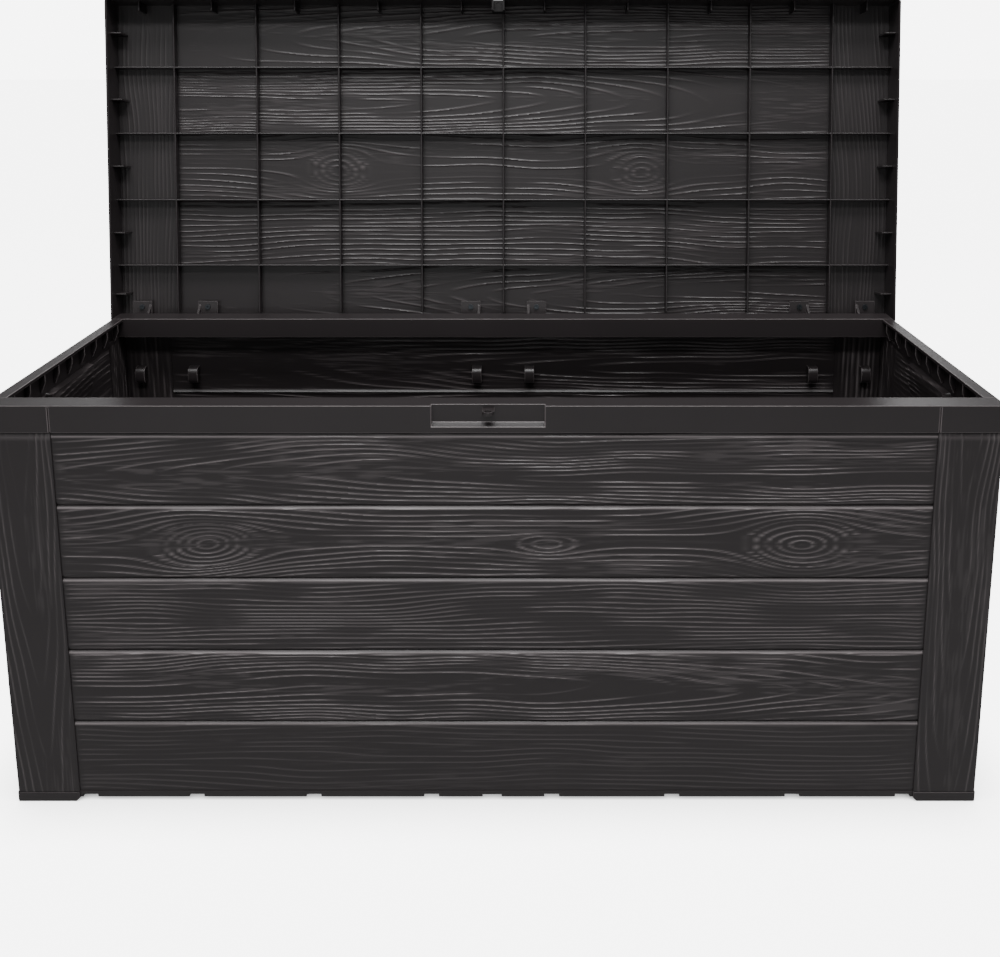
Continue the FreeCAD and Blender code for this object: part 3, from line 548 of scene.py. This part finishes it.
def scoop():
    """The grip pressed into a side wall: how far its outer face and the ledge inside are pushed in.

    Both slope in from the foot to the full depth, then stop at the head with a short undercut."""
    def ramp(z, low, high, deep):
        return deep * np.clip((z - low) / (high - low), 0, 1)

    def outer(u, z):
        ends = np.clip((GRIP_HALF - np.abs(u)) / 2.5, 0, 1)
        head = np.clip((GRIP_HEAD - z) / 1.6, 0, 1)
        return ramp(z, GRIP_FOOT, GRIP_FULL, GRIP_IN) * ends * head

    def inner(u, z):
        ends = np.clip((LEDGE_HALF - np.abs(u)) / 2.0, 0, 1)
        head = np.clip((LEDGE_HEAD - z) / 1.2, 0, 1)
        return ramp(z, LEDGE_FOOT, LEDGE_FULL, LEDGE_IN) * ends * head

    def along(u):
        """Places along the wall, with more of them where the scoop's ends turn in."""
        extra = [s * d for s in (-1, 1) for d in (66.6, 67.4, 68.4, 69.6, 70.6, 71.6, 72.6)]
        return np.array(sorted(set(np.round(np.concatenate([u, extra]), 3))))
    return {"outer": outer, "inner": inner, "along": along}


def walls(look):
    wall("front_wall_planks", WALL_HALF, FACE, FRONT_GRAIN, look, ["front_panel"], 0, (6.0, 1.0), thin_u=4)
    wall("rear_wall_planks", WALL_HALF, FACE, REAR_GRAIN, look, ["rear_panel"], 2, (7.2, 1.15),
         thin_u=2, thin_v=1)
    for hand, looks, turn in (("right", SIDE_GRAIN, 1), ("left", SIDE_GRAIN[::-1], 3)):
        wall(f"{hand}_wall_planks", SIDE_HALF, SIDE_FACE, looks, look, [f"{hand}_side_panel"], turn,
             (5.0, 1.6), dent=scoop())


SEAT_X, SEAT_LOW, SEAT_DEEP = -570.1, 391.0, 2.6
FAR = 1000.0


def corner_path(outer):
    """Plan points round a front left post, from its front arm to its side arm, and how far along."""
    x0, y0 = -HALF_W, -HALF_D
    radius = 3.0
    if not outer:
        return [(x0 + POST_W, y0 + POST_T), (x0 + POST_T, y0 + POST_T), (x0 + POST_T, y0 + POST_D)]
    turn = [(x0 + radius - radius * math.sin(a), y0 + radius - radius * math.cos(a))
            for a in np.linspace(0, math.pi / 2, 6)]
    return [(x0 + POST_W, y0)] + turn + [(x0, y0 + POST_D)]


def along_path(path, places):
    """Points at distances along a plan path, with the outward direction there."""
    path = np.array(path, float)
    steps = np.hypot(*np.diff(path, axis=0).T)
    far = np.concatenate([[0], np.cumsum(steps)])
    s = np.asarray(places) * far[-1]
    x, y = np.interp(s, far, path[:, 0]), np.interp(s, far, path[:, 1])
    seg = np.clip(np.searchsorted(far, s, side="right") - 1, 0, len(steps) - 1)
    way = (np.diff(path, axis=0) / steps[:, None])[seg]
    return s, x, y, way[:, 1], -way[:, 0]


POST_ROUND, POST_UP = 121, 93


def post(row, hand, look):
    """A corner post: an L with upright grain on both outer faces, and bevelled free edges."""
    right, rear = hand == "right", row == "rear"
    seed = 200 + 20 * right + 40 * rear
    places = np.linspace(0, 1, POST_ROUND)
    z = np.linspace(PANEL_LOW, PANEL_HIGH, POST_UP)
    s, x, y, nx, ny = along_path(corner_path(True), places)
    _, xi, yi, mx, my = along_path(corner_path(False), places[::2])
    s2, z2 = np.meshgrid(s, z, indexing="ij")
    near_corner = np.clip(np.abs(s2 - s[-1] / 2) / 4, 0, 1)
    fade = edge_fade(s2, 0, s[-1]) * near_corner
    relief = fade * grain(z2.T, s2.T, seed, spacing=6.5, middle=36.0, arches=((150, 90, 260, 1),),
                          faint=0.7).T
    edge = np.clip(1 - np.minimum(s2, s[-1] - s2) / 1.6, 0, 1) ** 2 * 0.9
    top = np.clip(1 - (PANEL_HIGH - z2) / 4.0, 0, 1) ** 1.6 * 2.2
    sink = CUT * (1 - relief) + edge + top
    px, py = x[:, None] + nx[:, None] * sink, y[:, None] + ny[:, None] * sink
    if rear:
        py = np.maximum(py, seat_line(px, z2))
    front = grid(px, py, z2)
    zi = z[::2]
    inner_s, inner_z = np.meshgrid(s[::2], zi, indexing="ij")
    inner_relief = grain(inner_z.T, inner_s.T, seed + 7, spacing=7.5).T * edge_fade(inner_s, 0, s[-1])
    raised = CUT * inner_relief
    back = grid(xi[:, None] - mx[:, None] * raised, yi[:, None] - my[:, None] * raised, inner_z)
    points, faces = slab(front, back)
    points = points * np.array([-1 if right else 1, -1 if rear else 1, 1])
    # Painted highlight: the grain crests and the post's top edge are drawn paler.
    painted_highlight = np.maximum(0.5 * relief, shoulders(z2, (PANEL_HIGH,), 3.2, 1.3))
    shade = np.concatenate([painted_highlight.ravel(), 0.6 * inner_relief.ravel()])
    name = f"corner_post_{row}_{hand}"
    place(name + "_grained", points, faces, look, [name], relief=shade)


def seat_line(x, z):
    """The flat seat for a hinge bracket, cut into the rear posts' proud faces (mirrored drawing)."""
    inside = (x > SEAT_X) & (z > SEAT_LOW)
    return np.where(inside, -HALF_D + SEAT_DEEP, -FAR)


# ---------------------------------------------------------------- lid
LID_IN = LID_W / 2 - LID_T
LID_EDGES = (LID_FRONT + LID_T,) + RIB_Y + (LID_REAR - LID_T,)
LID_GRAIN = (
    dict(seed=301, arches=((240, 60, 330, 1),), middle=50.0),
    dict(seed=311, arches=((700, 60, 300, -1),), middle=52.0, spacing=8.0),
    dict(seed=323, knots=((250, 26, 1.8), (720, 24, 1.8)), middle=50.0, spacing=8.5),
    dict(seed=331, spacing=8.0),
    dict(seed=347, arches=((420, 60, 360, 1),), middle=44.0),
)


LID_ENDS = (LID_FRONT + LID_T, LID_REAR - LID_T, -LID_IN, LID_IN)
LID_STEPS = (5.6, 1.05)
LID_GROOVE = (2.0, 3.6)


def lid_skin_piece(name, u_range, v_edges, looks, look, along_y=False):
    """One plank of the lid's skin: fine relief beneath, plank relief on top, thinned by half along."""
    low, high = u_range
    count = 2 * round((high - low) / LID_STEPS[0] / 2)
    u1 = np.linspace(low, high, count + 1)
    v1 = stations(v_edges, LID_STEPS[1], near=(0.0, 0.9, 1.8, 2.8))
    u, v = np.meshgrid(u1, v1, indexing="ij")
    fade = edge_fade(u, low, high) * edge_fade(v, v_edges[0], v_edges[-1])
    under = grain(u - low, v - v_edges[0], **looks) * fade
    u2, v2 = u[::2], v[::2]
    looks_top = dict(looks)
    looks_top["seed"] += 400
    top = grain(high - u2, v2 - v_edges[0], **looks_top) * fade[::2]
    lines = [e for e in v_edges if e not in LID_ENDS]
    dip = joint_dip(v2, lines, *LID_GROOVE)
    ends = joint_dip(u2, () if along_y else (low, high), *LID_GROOVE)
    # Painted highlight: the grain crests on top and the shoulders beside the plank joints are drawn paler.
    painted_highlight = np.max([0.8 * top] + [np.exp(-((np.abs(v2 - e) - 2.9) / 1.0) ** 2) for e in lines], axis=0)
    zt = LID_TOP - np.maximum(dip, ends) - CUT * (1 - top) * fade[::2]
    zu = LID_TOP - LID_T - CUT * under
    front = grid(v, u, zu) if along_y else grid(u, v, zu)
    back = grid(v2, u2, zt) if along_y else grid(u2, v2, zt)
    points, faces = slab(front, back)
    shade = np.concatenate([under.ravel(), painted_highlight.ravel()])
    place(name, points, faces, look, ["lid_shell"], "lid", relief=shade)


def lid_skin(look):
    for k, (low, high) in enumerate(zip(LID_EDGES[:-1], LID_EDGES[1:])):
        lid_skin_piece(f"lid_plank_{k + 1}", (RIB_X[0], RIB_X[-1]), (low, high), LID_GRAIN[k], look)
    for hand, side in (("left", -1), ("right", 1)):
        edges = tuple(sorted((side * WALL_HALF, side * LID_IN)))
        looks = dict(seed=361 + 20 * side, spacing=6.5, faint=0.35)
        lid_skin_piece(f"lid_border_{hand}", (LID_EDGES[0], LID_EDGES[-1]), edges, looks, look, along_y=True)


HASP_GAP, HASP_GAP_HIGH = 9.6, 521.1
HINGE_GAP, HINGE_GAP_HIGH = 69.5, 496.0


def lid_outline():
    """Stations round the lid's edge: plan point, outward direction, and the apron's lowest height."""
    half, radius = LID_W / 2, 6.0
    out = []

    def run(a, b, normal, breaks=()):
        """One straight side from a to b, its skirt raised to a height between two places at a break."""
        length = math.hypot(b[0] - a[0], b[1] - a[1])
        for t in np.linspace(0, 1, 41).tolist():
            out.append((a[0] + (b[0] - a[0]) * t, a[1] + (b[1] - a[1]) * t, *normal, LID_LOW))
        for lo, hi, height in breaks:
            keep = []
            for p in out:
                along = (p[0] - a[0]) * (b[0] - a[0]) / length + (p[1] - a[1]) * (b[1] - a[1]) / length
                on = p[2:4] == tuple(normal)
                if not (on and lo - 0.01 < along < hi + 0.01):
                    keep.append(p)
            ends = []
            for d, z in ((lo - 0.01, LID_LOW), (lo, height), (hi, height), (hi + 0.01, LID_LOW)):
                t = d / length
                ends.append((a[0] + (b[0] - a[0]) * t, a[1] + (b[1] - a[1]) * t, *normal, z))
            out[:] = keep + ends
            out.sort(key=lambda p: order(p, a, b, normal))

    def order(p, a, b, normal):
        """Sorts a side's points along it, after all the points before that side."""
        if p[2:4] != tuple(normal):
            return (0, previous.index(p) if p in previous else 0)
        return (1, (p[0] - a[0]) * (b[0] - a[0]) + (p[1] - a[1]) * (b[1] - a[1]))

    def bend(cx, cy, start):
        """A quarter turn round a corner, without its two end points."""
        for k in range(1, 6):
            a = math.radians(start + 90 * k / 6)
            nx, ny = math.cos(a), math.sin(a)
            out.append((cx + radius * nx, cy + radius * ny, nx, ny, LID_LOW))

    x1, y0, y1 = half, LID_FRONT, LID_REAR
    previous = []
    hasp_at = half - radius + HASP_X
    gap = (hasp_at - HASP_GAP, hasp_at + HASP_GAP, HASP_GAP_HIGH)
    run((-half + radius, y0), (half - radius, y0), (0.0, -1.0), [gap])
    bend(half - radius, y0 + radius, -90)
    previous = list(out)
    run((x1, y0 + radius), (x1, y1 - radius), (1.0, 0.0))
    bend(half - radius, y1 - radius, 0)
    previous = list(out)
    middles = [half - radius - x for x in HINGE_X[::-1]]
    rear = [(m - HINGE_GAP, m + HINGE_GAP, HINGE_GAP_HIGH) for m in middles]
    run((half - radius, y1), (-half + radius, y1), (0.0, 1.0), rear)
    bend(-half + radius, y1 - radius, 90)
    previous = list(out)
    run((-x1, y1 - radius), (-x1, y0 + radius), (-1.0, 0.0))
    bend(-half + radius, y0 + radius, 180)
    return out


def lid_apron(look):
    """The skirt round the lid: one closed ring with a rounded top edge and a rounded lower lip."""
    ring = []
    for x, y, nx, ny, low in lid_outline():
        section = [(0.0, low + 0.8), (0.0, LID_TOP - 2.0), (0.27, LID_TOP - 1.0), (1.0, LID_TOP - 0.27),
                   (2.0, LID_TOP), (LID_T, LID_TOP), (LID_T, low + 0.8), (LID_T - 0.8, low), (0.8, low)]
        ring.append([(x - nx * d, y - ny * d, z) for d, z in section])
    ring = np.array(ring)
    n, m = ring.shape[:2]
    index = np.arange(n * m).reshape(n, m)
    around, up = np.roll(index, -1, 0), np.roll(index, -1, 1)
    faces = np.stack([index, around, np.roll(around, -1, 1), up], -1).reshape(-1, 4).tolist()
    place("lid_apron", ring.reshape(-1, 3), faces, look, ["lid_shell"], "lid")


def bar_tree():
    """Geometry Nodes: a rounded bar of given length, thickness and depth on every point given.

    A bar lies along X, or along Y with a quarter turn, is centred on its point, and has all four
    long edges rounded."""
    tree = bpy.data.node_groups.new("rib_bank", "GeometryNodeTree")
    face = tree.interface
    face.new_socket("Geometry", in_out="INPUT", socket_type="NodeSocketGeometry")
    for name in ("Length", "Thickness", "Depth", "Round"):
        face.new_socket(name, in_out="INPUT", socket_type="NodeSocketFloat")
    face.new_socket("Turn", in_out="INPUT", socket_type="NodeSocketFloat")
    face.new_socket("Material", in_out="INPUT", socket_type="NodeSocketMaterial")
    face.new_socket("Geometry", in_out="OUTPUT", socket_type="NodeSocketGeometry")
    given = add(tree, "NodeGroupInput").outputs
    half = add(tree, "ShaderNodeMath", {0: given["Length"], 1: -0.5}, operation="MULTIPLY").outputs[0]
    other = add(tree, "ShaderNodeMath", {0: given["Length"], 1: 0.5}, operation="MULTIPLY").outputs[0]
    start = add(tree, "ShaderNodeCombineXYZ", {"X": half}).outputs[0]
    end = add(tree, "ShaderNodeCombineXYZ", {"X": other}).outputs[0]
    line = add(tree, "GeometryNodeCurvePrimitiveLine", {"Start": start, "End": end})
    outline = add(tree, "GeometryNodeCurvePrimitiveQuadrilateral", {"Width": given["Thickness"],
                                                                    "Height": given["Depth"]})
    soft = add(tree, "GeometryNodeFilletCurve", {"Curve": outline.outputs["Curve"], "Radius": given["Round"],
                                                 "Count": 3}, mode="POLY")
    bar = add(tree, "GeometryNodeCurveToMesh", {"Curve": line.outputs["Curve"],
                                                "Profile Curve": soft.outputs["Curve"], "Fill Caps": True})
    turn = add(tree, "ShaderNodeCombineXYZ", {"Z": given["Turn"]}).outputs[0]
    spread = add(tree, "GeometryNodeInstanceOnPoints", {"Points": given["Geometry"],
                                                        "Instance": bar.outputs["Mesh"], "Rotation": turn})
    real = add(tree, "GeometryNodeRealizeInstances", {"Geometry": spread.outputs["Instances"]})
    painted = add(tree, "GeometryNodeSetMaterial", {"Geometry": real.outputs["Geometry"],
                                                    "Material": given["Material"]})
    add(tree, "NodeGroupOutput", {"Geometry": painted.outputs["Geometry"]})
    return tree


BAR_EDGE = 0.9


def bars(tree, name, centres, length, thick, depth, look, replaces, body, turned=False):
    """Ribs made by the tree at the given centres, as one plain piece."""
    mesh = bpy.data.meshes.new(name)
    mesh.from_pydata([tuple(c) for c in centres], [], [])
    holder = bpy.data.objects.new(name + "_maker", mesh)
    bpy.context.scene.collection.objects.link(holder)
    maker = holder.modifiers.new("ribs", "NODES")
    maker.node_group = tree
    given = {"Length": length, "Thickness": thick, "Depth": depth, "Round": BAR_EDGE,
             "Turn": math.pi / 2 if turned else 0.0, "Material": look}
    for item in tree.interface.items_tree:
        if item.in_out == "INPUT" and item.name in given:
            maker[item.identifier] = given[item.name]
    ready = holder.evaluated_get(bpy.context.evaluated_depsgraph_get())
    made = bpy.data.meshes.new_from_object(ready)
    bpy.data.objects.remove(holder)
    made.transform(SWING @ TO_FRAME if body == "lid" else TO_FRAME)
    return finished(name, made, look, replaces, body)


def lid_ribs(tree, look):
    """The grid of ribs under the lid, and the short webs that come down on the rims."""
    under = LID_TOP - LID_T
    middle = under + 1 - RIB_DEEP / 2
    skin = LID_T / 2
    shell = (look, ["lid_shell"], "lid")
    y0, y1 = LID_FRONT + skin, RIB_REAR
    bars(tree, "lid_long_ribs", [(x, (y0 + y1) / 2, middle) for x in RIB_X], y1 - y0, RIB_T, RIB_DEEP,
         *shell, turned=True)
    bars(tree, "lid_cross_ribs", [(0, y, middle) for y in RIB_Y], LID_W - LID_T, RIB_T, RIB_DEEP, *shell)
    tall = under + 1 - WEB_LOW
    height = WEB_LOW + tall / 2
    rows = (LID_FRONT,) + RIB_Y + (LID_REAR,)
    side = [(s * (LID_W / 2 - skin - SIDE_WEB / 2), (a + b) / 2, height)
            for a, b in zip(rows[:-1], rows[1:]) for s in (-1, 1)]
    bars(tree, "lid_side_webs", side, SIDE_WEB, RIB_T, tall, *shell)
    cells = (-LID_W / 2,) + RIB_X + (LID_W / 2,)
    front = [((a + b) / 2, y0 + FRONT_WEB / 2, height) for a, b in zip(cells[:-1], cells[1:])]
    bars(tree, "lid_front_webs", front, FRONT_WEB, RIB_T, tall, *shell, turned=True)


TONGUE_T, TONGUE_TALL, TONGUE_Z = 2.9, 25.0, 479.0
TONGUE_IN, POST_IN = 3.05, 5.55
LIP_TALL, LIP_Z = 6.0, 469.5
FRONT_TONGUES = ((-WALL_HALF, -77.8), (63.8, WALL_HALF))


def wall_tongues(tree, look):
    """The plain tongues of the walls and posts that stand up inside the hollow rails, and the low
    lips that close the rest of each post's seam."""
    size = (TONGUE_T, TONGUE_TALL)
    y, x = FACE - TONGUE_IN, SIDE_FACE - TONGUE_IN
    for k, (low, top) in enumerate(FRONT_TONGUES):
        bars(tree, f"front_wall_tongue_{k + 1}", [((low + top) / 2, -y, TONGUE_Z)], top - low, *size, look,
             ["front_panel"], "box")
    bars(tree, "rear_wall_tongue", [(0, y, TONGUE_Z)], 2 * WALL_HALF, *size, look, ["rear_panel"], "box")
    for hand, side in (("left", -1), ("right", 1)):
        bars(tree, f"{hand}_wall_tongue", [(side * x, 0, TONGUE_Z)], 2 * SIDE_HALF, *size, look,
             [f"{hand}_side_panel"], "box", turned=True)
    posts = [f"corner_post_{row}_{hand}" for row in ("front", "rear") for hand in ("left", "right")]

    def at_corners(in_x, in_y, z):
        return [(sx * (HALF_W - in_x), sy * (HALF_D - in_y), z) for sx in (-1, 1) for sy in (-1, 1)]

    for name, in_x, in_y, z, length, tall, turned in (
            ("post_tongues_long", 32.05, POST_IN, TONGUE_Z, 55.9, TONGUE_TALL, False),
            ("post_tongues_short", POST_IN, 16.55, TONGUE_Z, 24.9, TONGUE_TALL, True),
            ("post_lips_long", 67.3, POST_IN, LIP_Z, 15.8, LIP_TALL, False),
            ("post_lips_short", POST_IN, 51.5, LIP_Z, 47.0, LIP_TALL, True)):
        bars(tree, name, at_corners(in_x, in_y, z), length, TONGUE_T, tall, look, posts, "box", turned=turned)


SCREW_X = 51.0
SCREW_Y = 222.0


def lid_bosses(look):
    """Screw posts under the lid, turned profiles with a fillet at the root and an open hole."""
    under = LID_TOP - LID_T
    profile = [(2.0, under - 6), (2.0, under - 9.6), (2.4, under - 10), (5.6, under - 10), (6.0, under - 9.6),
               (6.0, under - 2), (6.6, under - 0.8), (8.0, under + 0.4), (2.0, under + 0.4)]
    points, faces = [], []
    count, rim = 24, len(profile)
    for x in HINGE_X:
        for side in (-SCREW_X, SCREW_X):
            base = len(points)
            for k in range(count):
                a = 2 * math.pi * k / count
                points += [(x + side + r * math.cos(a), SCREW_Y + r * math.sin(a), z) for r, z in profile]
            for k in range(count):
                n = (k + 1) % count
                faces += [[base + k * rim + j, base + n * rim + j, base + n * rim + (j + 1) % rim,
                           base + k * rim + (j + 1) % rim] for j in range(rim)]
    place("lid_screw_posts", points, faces, look, ["lid_shell"], "lid")


# ---------------------------------------------------------------- floor and the rest
FLOOR_HALF = 30.0
FLOOR_DROP = 0.0005


def stage_floor():
    mesh = bpy.data.meshes.new("studio_floor")
    far = FLOOR_HALF
    mesh.from_pydata([(-far, -far, 0), (far, -far, 0), (far, far, 0), (-far, far, 0)], [], [(0, 1, 2, 3)])
    mesh.materials.append(seamless_paper("white_studio_paper"))
    made = bpy.data.objects.new("studio_floor", mesh)
    made.location.z = -FLOOR_DROP
    bpy.context.scene.collection.objects.link(made)


camera()
lights()
stage_floor()
# The second colour of each plastic is the crest colour, a painted highlight on grain crests and edges.
plank = moulded_polypropylene("moulded_polypropylene_wood_grain", "#231f20", "#787172")
# Painted shade: the lid's planks are a darker copy of the wall plastic, for the shade under the open lid; the
# shut lid's top shows it too.
lid_plank = moulded_polypropylene("moulded_polypropylene_lid_painted_shade", "#1d191a", "#484243", gloss=0.43)
# Painted shade: the hasp is a near-black copy of the same plastic, for the shade inside its throat.
dark = moulded_polypropylene("moulded_polypropylene_hasp_painted_shade", "#121011", "#1c1a1b", gloss=0.85)
smooth = moulded_polypropylene("moulded_polypropylene_smooth", "#252122", "#5c5657", gloss=0.35)
acetal = turned_acetal("turned_black_acetal")
zinc = zinc_plated_steel("zinc_plated_steel")
walls(plank)
for row_name in ("front", "rear"):
    for hand_name in ("left", "right"):
        post(row_name, hand_name, plank)
        rounded_copy(f"corner_foot_{row_name}_{hand_name}", 0.8, smooth, "box")
for node_name in ("front_top_rail", "rear_top_rail", "left_top_rail", "right_top_rail"):
    rounded_copy(node_name, 1.9, smooth, "box", segments=3)
rounded_copy("floor_panel", 0.5, smooth, "box", segments=1)
rounded_copy("lock_staple", 0.8, smooth, "box")
for hinge_name in HINGE_NAMES:
    rounded_copy(f"hinge_bracket_{hinge_name}", 0.7, smooth, "box")
    rounded_copy(f"lid_hinge_leaf_{hinge_name}", 0.5, smooth, "lid")
    rounded_copy(f"hinge_pin_{hinge_name}", 0.3, acetal, "box")
rounded_copy("lid_hinge_screws", 0.2, zinc, "lid", segments=1)
rounded_copy("lid_hasp", 0.5, dark, "lid")
lid_skin(lid_plank)
lid_apron(smooth)
ribs = bar_tree()
lid_ribs(ribs, smooth)
wall_tongues(ribs, smooth)
lid_bosses(smooth)
